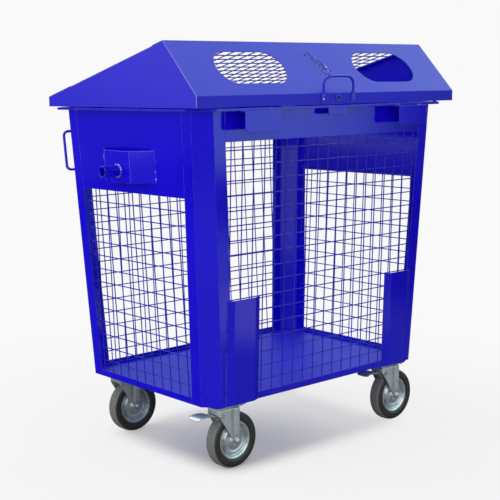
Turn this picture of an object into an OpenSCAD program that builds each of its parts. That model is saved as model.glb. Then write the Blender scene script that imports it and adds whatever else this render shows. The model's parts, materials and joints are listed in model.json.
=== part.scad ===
// Sorting container for bottles: a tapered sheet and wire-mesh body on four swivel
// castors, under a hinged gable lid with two throw-in holes and a turn lock.
// X runs along the length, -Y is the front, +Z is up, and the wheels stand on z = 0.

/* [Body] */
// Length of the body at its top edge, outside the end walls
body_top_l = 1164; // [1100:2:1200]
// Depth of the body at its top edge, outside the front and rear walls
body_top_w = 812; // [780:2:840]
// Length of the body at its bottom edge
body_bottom_l = 1056; // [1020:2:1080]
// Depth of the body at its bottom edge
body_bottom_w = 732; // [710:2:750]
// Height of the body's bottom edge above the ground
body_bottom_z = 248; // [246:1:252]
// Height of the top edge of the walls, under the rim
body_top_z = 1243; // [1240:1:1250]
// Leg of the chamfer at each corner
corner_leg = 51; // [40:1:60]
// Width of the flange that each corner post turns along a wall
post_flange = 48; // [40:1:60]
// Thickness of the body's sheet
sheet_t = 2; // [1.5:0.5:2]
// Height of the rails round the floor
rail_h = 24; // [20:1:30]
// Width of the rails' foot under the floor
rail_foot = 30; // [20:1:36]
// Height of the lower edge of the solid end walls
end_band_z = 955; // [900:5:1000]
// Height of the lower edge of the front and rear headers
header_z = 1138; // [1110:2:1160]

/* [Mesh] */
// Spacing of the mesh wires
mesh_pitch = 50; // [45:1:60]
// Diameter of the mesh wires
wire_d = 4; // [3:0.5:4.5]
// How far the mesh reaches behind the sheet round it
mesh_lap = 16; // [10:1:24]

/* [Rim] */
// How far the rim stands out from the top of the walls
rim_out = 37; // [34:1:40]
// Thickness of the rim sheet
rim_t = 3; // [2.5:0.5:3]
// Height of the rim's turned-down outer lip
rim_lip_h = 8; // [7:1:10]
// Length of each comb plate at the front
comb_l = 150; // [120:2:170]
// Distance of the comb plates' centres from the middle
comb_x = 371; // [360:1:380]
// Distance from the rim's front edge to the comb plates' faces
comb_out = 23; // [18:1:26]
// Height of the comb plates
comb_h = 69; // [50:1:80]
// Thickness of the comb plates
comb_t = 4; // [3:0.5:5]
// Cut-off at the comb plates' lower corners
comb_cut = 10; // [6:1:14]
// Length of the striker plate at the lock
striker_l = 84; // [70:2:100]
// Height of the striker plate
striker_h = 30; // [24:1:36]

/* [Trunnions] */
// Diameter of the trunnion pipes
trunnion_d = 40; // [38:1:42]
// Bore of the trunnion pipes
trunnion_bore = 33; // [32:0.5:34]
// Length of the trunnion pipes outside their brackets
trunnion_l = 62; // [58:1:70]
// Gap between a bracket's face and the shoulder of its trunnion
shoulder_gap = 1.2; // [1:0.1:2]
// Diameter of the turned-down end that each trunnion has in its bracket
spigot_d = 36; // [35:0.5:38]
// How far each trunnion reaches in through its bracket
spigot_in = 14; // [8:1:20]
// Height of the trunnion axis above the ground
trunnion_z = 1035; // [1030:1:1040]
// Height of the middle of the brackets that carry the trunnions
bracket_z = 1052; // [1045:1:1060]
// Height of the trunnion brackets
bracket_h = 108; // [100:2:116]
// Width of a bracket at the wall
bracket_foot_w = 300; // [290:2:310]
// Width of a bracket's flat face
bracket_face_w = 144; // [140:2:160]
// How far the bracket's face stands off the wall
bracket_off = 50; // [46:1:54]
// Thickness of the bracket plate
bracket_t = 4; // [3:0.5:5]

/* [Buffer plates] */
// Height of the top of the buffer plates at the front corners
buffer_top_z = 611; // [560:1:660]
// Distance from the middle to a buffer plate's inner foot
buffer_in_x = 316; // [306:2:326]
// Distance from the middle to a buffer plate's outer foot
buffer_out_x = 464; // [456:2:466]
// Width of the bevels along a buffer plate's sides
buffer_bevel = 27; // [20:1:32]
// How far the buffer plates stand off the front wall
buffer_off = 11; // [9:1:14]

/* [Rear handles] */
// Diameter of the rod in the push handles
grip_d = 10; // [8:1:12]
// Height of the lower leg of the push handles
grip_z = 1018; // [1000:2:1030]
// Distance between the legs of a push handle
grip_l = 141; // [120:1:160]
// How far the push handles stand off the corner posts
grip_off = 35; // [30:1:45]

/* [Lid] */
// Length of the lid
lid_l = 1254; // [1248:2:1260]
// Distance from the rim's front edge back to the lid's front face
lid_front_in = 1; // [0:0.5:2]
// Distance from the rim's rear edge forward to the lid's rear face
lid_rear_in = 32; // [31:1:34]
// Gap between the rim and the bottom edge of the lid's skirt
skirt_gap = 4; // [3:1:6]
// Height of the lid's skirt, up to the bend into the slopes
skirt_h = 38; // [34:1:42]
// Distance of the ridge in front of the middle
ridge_front = 275; // [265:1:285]
// Height of the ridge above the bend
roof_h = 176; // [162:1:182]
// Width of the sheet strip behind the ridge
ridge_strip = 58; // [50:1:70]
// Width of the sheet strip at the eave
eave_strip = 148; // [130:2:160]
// Length of the throw-in holes
hole_l = 300; // [280:2:310]
// Width of the throw-in holes
hole_w = 146; // [130:2:150]
// Distance of the holes' centres from the middle
hole_x = 325; // [315:1:335]
// Distance from the bend up the slope to the holes' centres
hole_up = 121; // [117:1:125]
// Width of the flange inside the gables that carries the mesh
gable_flange = 30; // [24:1:36]

/* [Lid handle and lock] */
// Diameter of the rod in the lid handle
pull_d = 9; // [8:1:10]
// Distance between the legs of the lid handle
pull_l = 146; // [130:2:160]
// Height of the lid handle's bar above the bend
pull_up = 57; // [52:1:62]
// Radius of the lid handle's bends
pull_bend = 30; // [24:1:34]
// Width of the lid handle's feet
foot_w = 16; // [14:1:20]
// Height of the lid handle's feet
foot_h = 36; // [32:1:38]
// Thickness of the lid handle's feet
foot_t = 4; // [3:0.5:5]
// Height of the lock's axis above the skirt's bottom edge
lock_up = 21; // [20:1:22]
// Diameter of the lock's face
lock_d = 24; // [22:1:26]
// Diameter of the lock's barrel
barrel_d = 16; // [14:1:17]
// Angle the lock turns from open to shut
lock_turn = 90; // [90:1:90]

/* [Keeper chain] */
// Length of a chain link over its bends
link_l = 21; // [19:0.5:22]
// Width of a chain link
link_w = 12; // [12:0.5:13]
// Diameter of the chain's wire
link_d = 3.5; // [3:0.5:3.5]
// Links between the eye and the ring on the lid handle
link_count = 10; // [10:1:10]
// Links of the loose end
loose_count = 7; // [5:1:8]
// Angle of the loose end from straight down the slope
loose_turn = 31; // [20:1:40]
// Radius of the eye on the slope
eye_r = 9.5; // [8:0.5:10]
// Distance from the middle to the eye, on the left
eye_x = -33; // [-36:1:-30]
// Distance from the bend up the slope to the eye
eye_up = 177.5; // [174:0.5:180]

/* [Hinge] */
// Diameter of the hinge pins
pin_d = 10; // [8:1:10]
// Outer diameter of the hinge knuckles
knuckle_d = 18; // [16:1:18]
// Length of the middle knuckle on the lid
knuckle_l = 28; // [24:1:36]
// Distance between the outer hinges and the middle one
hinge_pitch = 420; // [380:5:440]
// Distance from the lid's rear face to the hinge axis
hinge_back = 16; // [15:1:17]
// Height of the hinge axis above the rim
hinge_up = 12; // [11:1:14]
// Thickness of the hinge straps on the lid
strap_t = 5; // [4:0.5:6]
// Height of the hinge straps
strap_h = 30; // [24:1:32]
// Height of the straps' webs at the knuckles
strap_web = 8; // [6:1:10]
// Thickness of the hinge brackets' ears
ear_t = 5; // [4:0.5:6]

/* [Castors] */
// Diameter of the wheels
wheel_d = 200; // [200:1:200]
// Width of the tyres
tyre_w = 50; // [44:1:50]
// Outer diameter of the steel rims
rim_d = 135; // [125:1:140]
// Distance of the castor pins from the middle, along the length
castor_x = 417; // [410:1:420]
// Distance of the castor pins from the middle, across the depth
castor_y = 292; // [285:1:295]
// Distance that the wheels trail behind the castor pins
trail = 40; // [36:1:44]
// Overall height of a castor
castor_h = 238; // [237:1:238]
// Thickness of the castor's top plate
castor_plate_t = 5; // [4:0.5:6]
// Length of the castor's top plate
castor_plate_l = 135; // [130:1:140]
// Width of the castor's top plate
castor_plate_w = 110; // [105:1:115]
// Spacing of the castor bolts along the length
bolt_x = 105; // [100:1:108]
// Spacing of the castor bolts across the depth
bolt_y = 80; // [76:1:84]
// Thickness of the fork sheet
fork_t = 4; // [3:0.5:4]
// Diameter of the fork's round ends at the axle
fork_eye_d = 20; // [20:1:24]
// How far the fork's crown reaches past the castor pin, away from the wheel
crown_back = 42; // [40:1:46]
// Depth of the fork's turned-down end there
cheek_h = 19.5; // [16:0.5:22]
// Diameter of the ribs pressed along the fork's legs
fork_rib_d = 18; // [14:1:18]
// Diameter of the wheels' axles
axle_d = 12; // [10:1:12]
// Diameter of the sleeves that the wheels turn on
sleeve_d = 20; // [18:1:22]
// Diameter of the castor pins
kingpin_d = 16; // [14:1:18]
// Diameter of the castor bolts
bolt_d = 8; // [8:1:8]
// Diameter of the brake pedals' rods
brake_rod_d = 8; // [7:1:9]
// Width of the brake pedals' foot plates
pedal_w = 60; // [50:1:62]
// Width of the brake pedals inside the fork
pedal_neck_w = 34; // [28:1:44]
// Thickness of the brake pedals' sheet
pedal_t = 3.5; // [3:0.5:4]

/* [Hidden] */
$fn = 40;
blue = [0.10, 0.09, 0.72];
zinc = [0.62, 0.65, 0.68];
rubber = [0.13, 0.13, 0.13];
touch = 0.1;
fit = 0.06;
play = 0.3;

// Half sizes and lean of the walls
half_bl = body_bottom_l / 2;
half_bw = body_bottom_w / 2;
half_tl = body_top_l / 2;
half_tw = body_top_w / 2;
wall_h = body_top_z - body_bottom_z;
lean_end = atan((half_tl - half_bl) / wall_h);
lean_long = atan((half_tw - half_bw) / wall_h);
corner_reach_b = (half_bl + half_bw - corner_leg) / sqrt(2);
corner_reach_t = (half_tl + half_tw - corner_leg) / sqrt(2);
lean_corner = atan((corner_reach_t - corner_reach_b) / wall_h);
function end_half(z) = half_bl + (half_tl - half_bl) * (z - body_bottom_z) / wall_h;
function long_half(z) = half_bw + (half_tw - half_bw) * (z - body_bottom_z) / wall_h;
// Sideways place of a corner's middle along its chamfer
function skew(z) = (long_half(z) - end_half(z)) / sqrt(2);
// Height along a leaning wall, and the wall's full slant height under the rim
function up(z, lean) = (z - body_bottom_z) / cos(lean);
function top_of(lean) = (wall_h - sheet_t * sin(lean)) / cos(lean);

// Rim, lid and hinge levels
rim_top_z = body_top_z + rim_t;
rim_low_z = rim_top_z - rim_lip_h;
skirt_z = rim_top_z + skirt_gap;
bend_z = skirt_z + skirt_h;
ridge_z = bend_z + roof_h;
pull_z = bend_z + pull_up;
lock_z = skirt_z + lock_up;
hinge_z = rim_top_z + hinge_up;
rim_front = half_tw + rim_out;
lid_front = rim_front - lid_front_in;
lid_rear = rim_front - lid_rear_in;
slope_f = atan((ridge_z - bend_z) / (lid_front - ridge_front));
rear_run = lid_rear + ridge_front;
eave_z = bend_z - 3;
slope_r = atan((ridge_z - eave_z) / rear_run);
slope_r_l = norm([rear_run, ridge_z - eave_z]);
hinge_y = lid_rear + hinge_back;
function down(s) = [-ridge_front + s * cos(slope_r), ridge_z - s * sin(slope_r)];
lid_line = [[-lid_front, skirt_z], [-lid_front, bend_z], [-ridge_front, ridge_z], down(slope_r_l),
            [lid_rear, skirt_z]];
// How far the gables' flanges lie under the sheet, below the mesh's two layers of wire
flange_drop = sheet_t + 2 * wire_d + 3 * touch;

// Lid handle, lock and chain levels
foot_low_z = skirt_z + 8;
pull_y = -lid_front - pull_d / 2 - play;
lock_hook_y = rim_front - 18;
eye_leg = 4;
bend_turn = 12;

// The comb plates reach out at the front only: the parts shift back to centre the box
shift_y = comb_out / 2;
module centred() { translate([0, shift_y, 0]) children(); }

// Place of the trunnions' shoulders, clear of the leaning brackets, and the span over both ends
shoulder_x = end_half(trunnion_z + trunnion_d / 2) + bracket_off + shoulder_gap;
trunnion_span = 2 * (shoulder_x + trunnion_l);

// Castor levels
axle_z = wheel_d / 2;
plate_low_z = castor_h - castor_plate_t;
race_low_z = plate_low_z - 8.3;
crown_top_z = race_low_z - 0.2;
crown_low_z = crown_top_z - fork_t;
hub_w = tyre_w + 7;
fork_in_w = hub_w + 2 * play;
crown_fore = trail + fork_eye_d / 2;
pedal_x = 2 * brake_rod_d - crown_back;
pedal_z = crown_top_z - cheek_h - 5;

// Frames: a child's +X faces out of the wall, +Z runs up it, and z = 0 is its bottom edge
module wall_frame(turn, reach, lean) {
  rotate([0, 0, turn]) translate([reach, 0, body_bottom_z]) rotate([0, lean, 0]) children();
}
module on_right() { wall_frame(0, half_bl, lean_end) children(); }
module on_left() { mirror([1, 0, 0]) on_right() children(); }
module on_front() { wall_frame(-90, half_bw, lean_long) children(); }
module on_rear() { mirror([0, 1, 0]) on_front() children(); }
module at_corner(sx, sy) { mirror([sx < 0 ? 1 : 0, 0, 0]) mirror([0, sy < 0 ? 1 : 0, 0]) children(); }

// A flat plate with its outer face on x = 0, from points across and up the wall
module plate(points, t = sheet_t) {
  rotate([90, 0, 90]) translate([0, 0, -t]) linear_extrude(t) polygon(points);
}
// A plate between two heights of a wall, whose half width runs from a to b
module band(low, high, a, b, t = sheet_t) {
  plate([[-a, low], [a, low], [b, high], [-b, high]], t);
}
// A polyline turned into a strip of sheet, thickened to its right
function unit(v) = v / norm(v);
function right_of(v) = [v[1], -v[0]];
function inset(p, t) = [for (i = [0 : len(p) - 1])
  let(a = right_of(unit(i > 0 ? p[i] - p[i - 1] : p[1] - p[0])),
      b = right_of(unit(i < len(p) - 1 ? p[i + 1] - p[i] : p[i] - p[i - 1])))
  p[i] + t * (a + b) / (1 + a * b)];
function strip(p, t) = let(q = inset(p, t)) concat(p, [for (i = [len(q) - 1 : -1 : 0]) q[i]]);
// An outline in the Y-Z plane, drawn out along X and centred on it
module along_x(l) { rotate([90, 0, 90]) translate([0, 0, -l / 2]) linear_extrude(l) children(); }
// An outline in the X-Z plane, drawn out along Y and centred on it
module along_y(l) { rotate([90, 0, 0]) translate([0, 0, -l / 2]) linear_extrude(l) children(); }
module rod_x(l, d) { rotate([0, 90, 0]) cylinder(h = l, d = d, center = true); }
module rod_y(l, d) { rotate([90, 0, 0]) cylinder(h = l, d = d, center = true); }

// A rod bent into a U: legs of length h up +Z at x = 0 and x = w, with round bends
module bent_rod(w, h, d, r) {
  for (x = [0, w]) translate([x, 0, 0]) cylinder(h = h - r, d = d);
  translate([r, 0, h]) rotate([0, 90, 0]) cylinder(h = w - 2 * r, d = d);
  translate([r, 0, h - r]) rotate([90, 0, 0]) rotate([0, 0, 90])
    rotate_extrude(angle = 90) translate([r, 0]) circle(d = d);
  translate([w - r, 0, h - r]) rotate([90, 0, 0])
    rotate_extrude(angle = 90) translate([r, 0]) circle(d = d);
}

// Body: floor, rails, posts and walls
function outline(l, w, c) = [[l - c, -w], [l, -w + c], [l, w - c], [l - c, w],
                             [-l + c, w], [-l, w - c], [-l, -w + c], [-l + c, -w]];
function body_outline(z, out) = outline(end_half(z) + out, long_half(z) + out,
                                        corner_leg + out * (2 - sqrt(2)));

module floor_pan() {
  color(blue) translate([0, 0, body_bottom_z + sheet_t]) linear_extrude(sheet_t)
    polygon(body_outline(body_bottom_z, -sheet_t - touch));
}

// A folded rail: a leaning web on the wall's plane and a flat foot under the floor
module rail(turn, reach, lean, half) {
  top_x = rail_h * tan(lean);
  wall_frame(turn, reach, 0) along_y(2 * half)
    polygon([[0, 0], [top_x, rail_h], [top_x - sheet_t, rail_h], [-sheet_t, sheet_t],
             [-rail_foot, sheet_t], [-rail_foot, 0]]);
}
module bottom_rails() {
  end = half_bw - corner_leg - post_flange;
  long = half_bl - corner_leg - post_flange;
  color(blue) {
    for (turn = [0, 180]) rail(turn, half_bl, lean_end, end);
    for (turn = [-90, 90]) rail(turn, half_bw, lean_long, long);
  }
}

module corner_post(sx, sy) {
  chamfer = corner_leg / sqrt(2);
  skew_b = skew(body_bottom_z);
  skew_t = skew(body_top_z);
  color(blue) at_corner(sx, sy) {
    wall_frame(45, corner_reach_b, lean_corner)
      plate([[skew_b - chamfer, 0], [skew_b + chamfer, 0],
             [skew_t + chamfer, top_of(lean_corner)], [skew_t - chamfer, top_of(lean_corner)]]);
    wall_frame(0, half_bl, lean_end)
      plate([[half_bw - corner_leg - post_flange, 0], [half_bw - corner_leg, 0],
             [half_tw - corner_leg, top_of(lean_end)],
             [half_tw - corner_leg - post_flange, top_of(lean_end)]]);
    wall_frame(90, half_bw, lean_long)
      plate([[corner_leg - half_bl, 0], [corner_leg + post_flange - half_bl, 0],
             [corner_leg + post_flange - half_tl, top_of(lean_long)],
             [corner_leg - half_tl, top_of(lean_long)]]);
  }
}

module end_panel() {
  rim_half = half_tw - corner_leg - post_flange;
  band(up(end_band_z, lean_end), top_of(lean_end),
       long_half(end_band_z) - corner_leg - post_flange, rim_half);
}
module header() {
  rim_half = half_tl - corner_leg - post_flange;
  band(up(header_z, lean_long), top_of(lean_long),
       end_half(header_z) - corner_leg - post_flange, rim_half);
}

// Welded mesh behind a window: upright wires first, cross wires behind them
module wire_mesh(low, high, half_b, half_t) {
  grow = (half_t - half_b) / (high - low);
  count_up = floor(half_t / mesh_pitch);
  count_across = floor((high - low) / mesh_pitch);
  layer = wire_d / 2 + touch;
  for (i = [-count_up : count_up]) {
    y = i * mesh_pitch;
    foot = max(low, low + (abs(y) - half_b) / grow);
    if (high - foot > mesh_pitch)
      translate([-sheet_t - layer, y, foot]) cylinder(h = high - foot, d = wire_d, $fn = 16);
  }
  for (i = [0 : count_across]) {
    z = low + wire_d + i * mesh_pitch;
    half = half_b + grow * (z - low);
    translate([-sheet_t - 2 * layer - wire_d / 2, 0, z])
      rotate([90, 0, 0]) cylinder(h = 2 * half, d = wire_d, center = true, $fn = 16);
  }
}
module end_mesh() {
  window = corner_leg + post_flange - mesh_lap;
  top_z = end_band_z + mesh_lap;
  wire_mesh(rail_h - mesh_lap, up(top_z, lean_end),
            half_bw - window, long_half(top_z) - window);
}
module long_mesh() {
  window = corner_leg + post_flange - mesh_lap;
  top_z = header_z + mesh_lap;
  wire_mesh(rail_h - mesh_lap, up(top_z, lean_long),
            half_bl - window, end_half(top_z) - window);
}

// Rim and what hangs from it
module lock_slot() {
  translate([-38, -lock_hook_y - 8, body_top_z - 1]) cube([46, 16, rim_t + 2]);
}
module top_rim() {
  inner = body_outline(body_top_z, -sheet_t);
  outer = body_outline(body_top_z, rim_out);
  lip = body_outline(body_top_z, rim_out - rim_t);
  color(blue) difference() {
    union() {
      translate([0, 0, body_top_z]) linear_extrude(rim_t) polygon(outer);
      translate([0, 0, rim_low_z]) linear_extrude(rim_lip_h) difference() {
        polygon(outer);
        polygon(lip);
      }
    }
    translate([0, 0, rim_low_z - 1]) linear_extrude(rim_lip_h + 2) polygon(inner);
    lock_slot();
  }
}

module comb_plate() {
  face_y = rim_front + comb_out;
  translate([0, -face_y, rim_low_z - comb_h]) along_y_from(comb_t)
    polygon([[-comb_l / 2 + comb_cut, 0], [comb_l / 2, 0], [comb_l / 2, comb_h],
             [-comb_l / 2, comb_h], [-comb_l / 2, comb_cut]]);
  translate([-comb_l / 2, -face_y, rim_low_z - comb_t])
    cube([comb_l, comb_out + rim_t, comb_t]);
}
module along_y_from(l) { rotate([90, 0, 0]) translate([0, 0, -l]) linear_extrude(l) children(); }
module comb_plates() {
  color(blue) {
    translate([-comb_x, 0, 0]) comb_plate();
    translate([comb_x, 0, 0]) comb_plate();
  }
}
module striker_plate() {
  color(blue) translate([-striker_l / 2, -rim_front + rim_t, body_top_z - striker_h])
    cube([striker_l, rim_t, striker_h]);
}

// Trunnions and their brackets
module trunnion_bracket(sx) {
  foot = bracket_foot_w / 2;
  face = bracket_face_w / 2;
  bevel = atan(bracket_off / (foot - face));
  inner = foot - bracket_t / sin(bevel);
  inner_face = inner - (bracket_off - bracket_t) / tan(bevel);
  low = up(bracket_z - bracket_h / 2, lean_end);
  color(blue) at_corner(sx, 1) difference() {
    on_right() translate([0, 0, low]) linear_extrude(bracket_h)
      polygon([[0, -foot], [bracket_off, -face], [bracket_off, face], [0, foot], [0, inner],
               [bracket_off - bracket_t, inner_face], [bracket_off - bracket_t, -inner_face],
               [0, -inner]]);
    translate([shoulder_x, 0, trunnion_z]) rod_x(2 * bracket_off, spigot_d + 2 * touch);
  }
}
module trunnion(sx) {
  inner = end_half(trunnion_z) + bracket_off - spigot_in;
  color(blue) at_corner(sx, 1) translate([0, 0, trunnion_z]) rotate([0, 90, 0]) difference() {
    union() {
      translate([0, 0, shoulder_x]) cylinder(h = trunnion_l, d = trunnion_d);
      translate([0, 0, inner]) cylinder(h = shoulder_x - inner, d = spigot_d);
    }
    translate([0, 0, inner - 1]) cylinder(h = trunnion_span / 2 - inner + 2, d = trunnion_bore);
  }
}

// Buffer plates: shallow pressed plates on the lower front corners
module buffer_plate(side) {
  mid = (buffer_in_x + buffer_out_x) / 2;
  foot = (buffer_out_x - buffer_in_x) / 2;
  slant = atan(buffer_off / buffer_bevel);
  inner = foot - sheet_t / sin(slant);
  run = (buffer_off - sheet_t) / tan(slant);
  translate([0, side * mid, 0]) linear_extrude(up(buffer_top_z, lean_long))
    polygon([[0, -foot], [buffer_off, -foot + buffer_bevel], [buffer_off, foot - buffer_bevel],
             [0, foot], [0, inner], [buffer_off - sheet_t, inner - run],
             [buffer_off - sheet_t, run - inner], [0, -inner]]);
}
module buffer_plates() {
  color(blue) on_front() {
    buffer_plate(-1);
    buffer_plate(1);
  }
}

module rear_handles() {
  color(blue) for (sx = [-1, 1]) at_corner(sx, 1)
    wall_frame(45, corner_reach_b, lean_corner)
      translate([0, skew(grip_z + grip_l / 2), up(grip_z, lean_corner)])
        rotate([0, -90, 0]) mirror([0, 0, 1]) bent_rod(grip_l, grip_off, grip_d, 16);
}

// Castor pads, plates and bolts under the floor
module castor_spots() {
  for (sx = [-1, 1]) for (sy = [-1, 1]) translate([sx * castor_x, sy * castor_y, 0]) children();
}
module at_castor(sx, sy) { translate([sx * castor_x, sy * castor_y, 0]) children(); }
module bolt_spots() {
  for (sx = [-1, 1]) for (sy = [-1, 1]) translate([sx * bolt_x / 2, sy * bolt_y / 2, 0]) children();
}
module slab(l, w, h, r) {
  linear_extrude(h) difference() {
    square([l, w], center = true);
    for (sx = [-1, 1]) for (sy = [-1, 1]) translate([sx * l / 2, sy * w / 2])
      rotate(45) square(r * sqrt(2), center = true);
  }
}
module castor_pads() {
  color(blue) castor_spots() translate([0, 0, castor_h]) difference() {
    slab(castor_plate_l + 6, castor_plate_w + 6, body_bottom_z - castor_h, 10);
    bolt_spots() translate([0, 0, -1]) cylinder(h = 20, d = bolt_d + 1);
  }
}
module castor_plates() {
  color(zinc) castor_spots() {
    difference() {
      union() {
        translate([0, 0, plate_low_z]) slab(castor_plate_l, castor_plate_w, castor_plate_t, 10);
        translate([0, 0, race_low_z]) cylinder(h = plate_low_z - race_low_z, d = 74);
      }
      bolt_spots() translate([0, 0, plate_low_z - 1]) cylinder(h = 20, d = bolt_d + 1);
    }
    translate([0, 0, crown_low_z - 9]) cylinder(h = plate_low_z - crown_low_z + 9.5, d = kingpin_d);
    translate([0, 0, crown_low_z - 9]) cylinder(h = 8.8, d = kingpin_d + 10, $fn = 6);
  }
}
module castor_bolts() {
  color(zinc) castor_spots() bolt_spots() {
    translate([0, 0, plate_low_z - 6]) cylinder(h = body_bottom_z - plate_low_z + 5.9, d = bolt_d);
    translate([0, 0, plate_low_z - 7]) cylinder(h = 7, d = bolt_d + 7, $fn = 6);
  }
}

// Castor parts, about the castor pin at x = y = 0
module fork_side() {
  lug = fork_eye_d / 2;
  polygon([[-crown_back, crown_top_z], [crown_fore, crown_top_z], [crown_fore, axle_z],
           [trail - lug, axle_z], [trail - 2 * lug, axle_z + lug],
           [-crown_back, crown_top_z - cheek_h]]);
  translate([trail, axle_z]) circle(d = fork_eye_d);
}
module fork_rib() {
  low = axle_z + 16;
  difference() {
    translate([trail, fork_in_w / 2, low]) cylinder(h = crown_top_z - low, d = fork_rib_d);
    translate([trail - fork_rib_d, fork_in_w / 2 + fork_t / 2 - fork_rib_d, low - 1])
      cube([2 * fork_rib_d, fork_rib_d, wheel_d]);
  }
}
module fork(braked) {
  color(zinc) {
    difference() {
      union() {
        for (s = [-1, 1]) translate([0, s * (fork_in_w + fork_t) / 2, 0]) along_y(fork_t) fork_side();
        translate([-crown_back, -fork_in_w / 2 - 1, crown_low_z])
          cube([crown_back + crown_fore, fork_in_w + 2, fork_t]);
        translate([-crown_back, -fork_in_w / 2 - 1, crown_top_z - cheek_h])
          cube([fork_t, fork_in_w + 2, cheek_h]);
        fork_rib();
        mirror([0, 1, 0]) fork_rib();
      }
      translate([0, 0, crown_low_z - 1]) cylinder(h = 20, d = kingpin_d + 2 * fit);
      translate([trail, 0, axle_z]) rod_y(120, axle_d + touch);
    }
    if (braked) translate([pedal_x, 0, pedal_z]) rod_y(fork_in_w + 1, brake_rod_d);
  }
}
module axle() {
  color(zinc) translate([trail, 0, axle_z]) {
    rod_y(fork_in_w + 2 * fork_t, axle_d);
    rod_y(fork_in_w - touch, sleeve_d);
    for (s = [-1, 1]) translate([0, s * (fork_in_w / 2 + fork_t + 4.5), 0])
      rotate([90, 0, 0]) cylinder(h = 9, d = axle_d + 10, center = true, $fn = 6);
  }
}
module turned(points) { rotate([90, 0, 0]) rotate_extrude($fn = 72) polygon(points); }
module wheel_rim() {
  r = rim_d / 2;
  bore = sleeve_d / 2 + fit;
  color(zinc) translate([trail, 0, axle_z]) turned([
    [bore, -hub_w / 2], [18, -hub_w / 2], [24, -20], [34, -15], [40, -13], [54, -8],
    [r - 6, -19], [r - 2.5, -20], [r, -20], [r, 20], [r - 2.5, 20], [r - 6, 19],
    [54, 8], [40, 13], [34, 15], [24, 20], [18, hub_w / 2], [bore, hub_w / 2]]);
}
module tyre() {
  r = wheel_d / 2;
  seat = rim_d / 2;
  h = tyre_w / 2;
  // Half of the section, from the middle of the tread to the bead
  section = concat([[r, 5], [r - 1.4, 6], [r - 1.4, 7], [r, 8]],
    [for (a = [0 : 15 : 75]) [r - 9 + 9 * cos(a), h - 11 + 10 * sin(a)]],
    [[r - 13, h], [seat + 11, h - 1], [seat + 5, h - 1.5], [seat, 20]]);
  mirrored = [for (i = [len(section) - 1 : -1 : 0]) [section[i][0], -section[i][1]]];
  color(rubber) translate([trail, 0, axle_z]) turned(concat(mirrored, section));
}
// A pedal: a bent foot plate, its neck under the fork's crown, its bearing and the brake shoe
module brake_pedal() {
  tip = [-102, 4];
  plate = [tip, [-92, 11], [-80, 14], [-60, 13.5], [-44, 10.5], [-30, 3.5], [-22, 2]];
  color(zinc) translate([pedal_x, 0, pedal_z]) difference() {
    union() {
      along_y(pedal_w) polygon(strip(plate, pedal_t));
      along_y(pedal_neck_w) {
        polygon(strip([plate[5], plate[6], [0, 2]], pedal_t));
        circle(d = brake_rod_d + 7);
        polygon([[-7, -2], [7, -2], [4, -18], [0, -20.5], [-6, -17]]);
      }
    }
    rod_y(2 * pedal_w, brake_rod_d + 2 * fit);
    for (s = [-1, 1]) translate([tip[0], s * pedal_w / 2, 0])
      rotate([0, 0, 45]) cube([15, 15, 60], center = true);
  }
}

// Lid sheets, as outlines seen from the right
module hole_cutter() {
  translate([0, -lid_front, bend_z]) rotate([slope_f, 0, 0]) translate([0, hole_up, -20])
    linear_extrude(40) {
      square([hole_l - hole_w, hole_w], center = true);
      for (s = [-1, 1]) translate([s * (hole_l - hole_w) / 2, 0]) circle(d = hole_w);
    }
}
module lid_front_sheet() {
  color(blue) difference() {
    along_x(lid_l) polygon(strip([lid_line[0], lid_line[1], lid_line[2], down(ridge_strip)], sheet_t));
    translate([-hole_x, 0, 0]) hole_cutter();
    translate([hole_x, 0, 0]) hole_cutter();
    translate([0, -lid_front, lock_z]) rod_y(20, barrel_d + 2 * fit);
  }
}
module lid_eave_sheet() {
  color(blue) along_x(lid_l)
    polygon(strip([down(slope_r_l - eave_strip), lid_line[3], lid_line[4]], sheet_t));
}
module lid_gable() {
  color(blue) {
    translate([lid_l / 2 - sheet_t / 2, 0, 0]) along_x(sheet_t) polygon(inset(lid_line, sheet_t + touch));
    translate([lid_l / 2 - gable_flange / 2, 0, 0]) along_x(gable_flange)
      polygon(strip(inset([down(ridge_strip), down(slope_r_l - eave_strip)], flange_drop), sheet_t));
  }
}
module lid_mesh() {
  first = ridge_strip - 10;
  last = slope_r_l - eave_strip + 10;
  half = lid_l / 2 - sheet_t - touch;
  count = floor(half / mesh_pitch);
  rows = floor((last - first - wire_d) / mesh_pitch);
  layer = wire_d / 2 + touch;
  color(blue) translate([0, -ridge_front, ridge_z]) rotate([-slope_r, 0, 0]) {
    for (i = [0 : rows]) translate([0, first + wire_d + i * mesh_pitch, -sheet_t - layer])
      rotate([0, 90, 0]) cylinder(h = 2 * half, d = wire_d, center = true, $fn = 16);
    for (i = [-count : count]) translate([i * mesh_pitch, first, -sheet_t - 2 * layer - wire_d / 2])
      rotate([-90, 0, 0]) cylinder(h = last - first, d = wire_d, $fn = 16);
  }
}

// Lid handle, its feet and rivets
module lid_handle() {
  rod_low_z = foot_low_z + foot_h - 8;
  color(blue) {
    translate([-pull_l / 2, pull_y, rod_low_z])
      bent_rod(pull_l, pull_z - rod_low_z, pull_d, pull_bend);
    for (s = [-1, 1]) translate([s * pull_l / 2 - foot_w / 2, -lid_front - foot_t, foot_low_z])
      cube([foot_w, foot_t, foot_h]);
  }
}
module handle_rivets() {
  color(blue) for (s = [-1, 1]) for (z = [8, 21])
    translate([s * pull_l / 2, -lid_front - foot_t, foot_low_z + z]) rotate([90, 0, 0])
      rotate_extrude($fn = 24) polygon([[0, 0], [4.5, 0], [4, 1.6], [2.4, 2.9], [0, 3.4]]);
}

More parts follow.
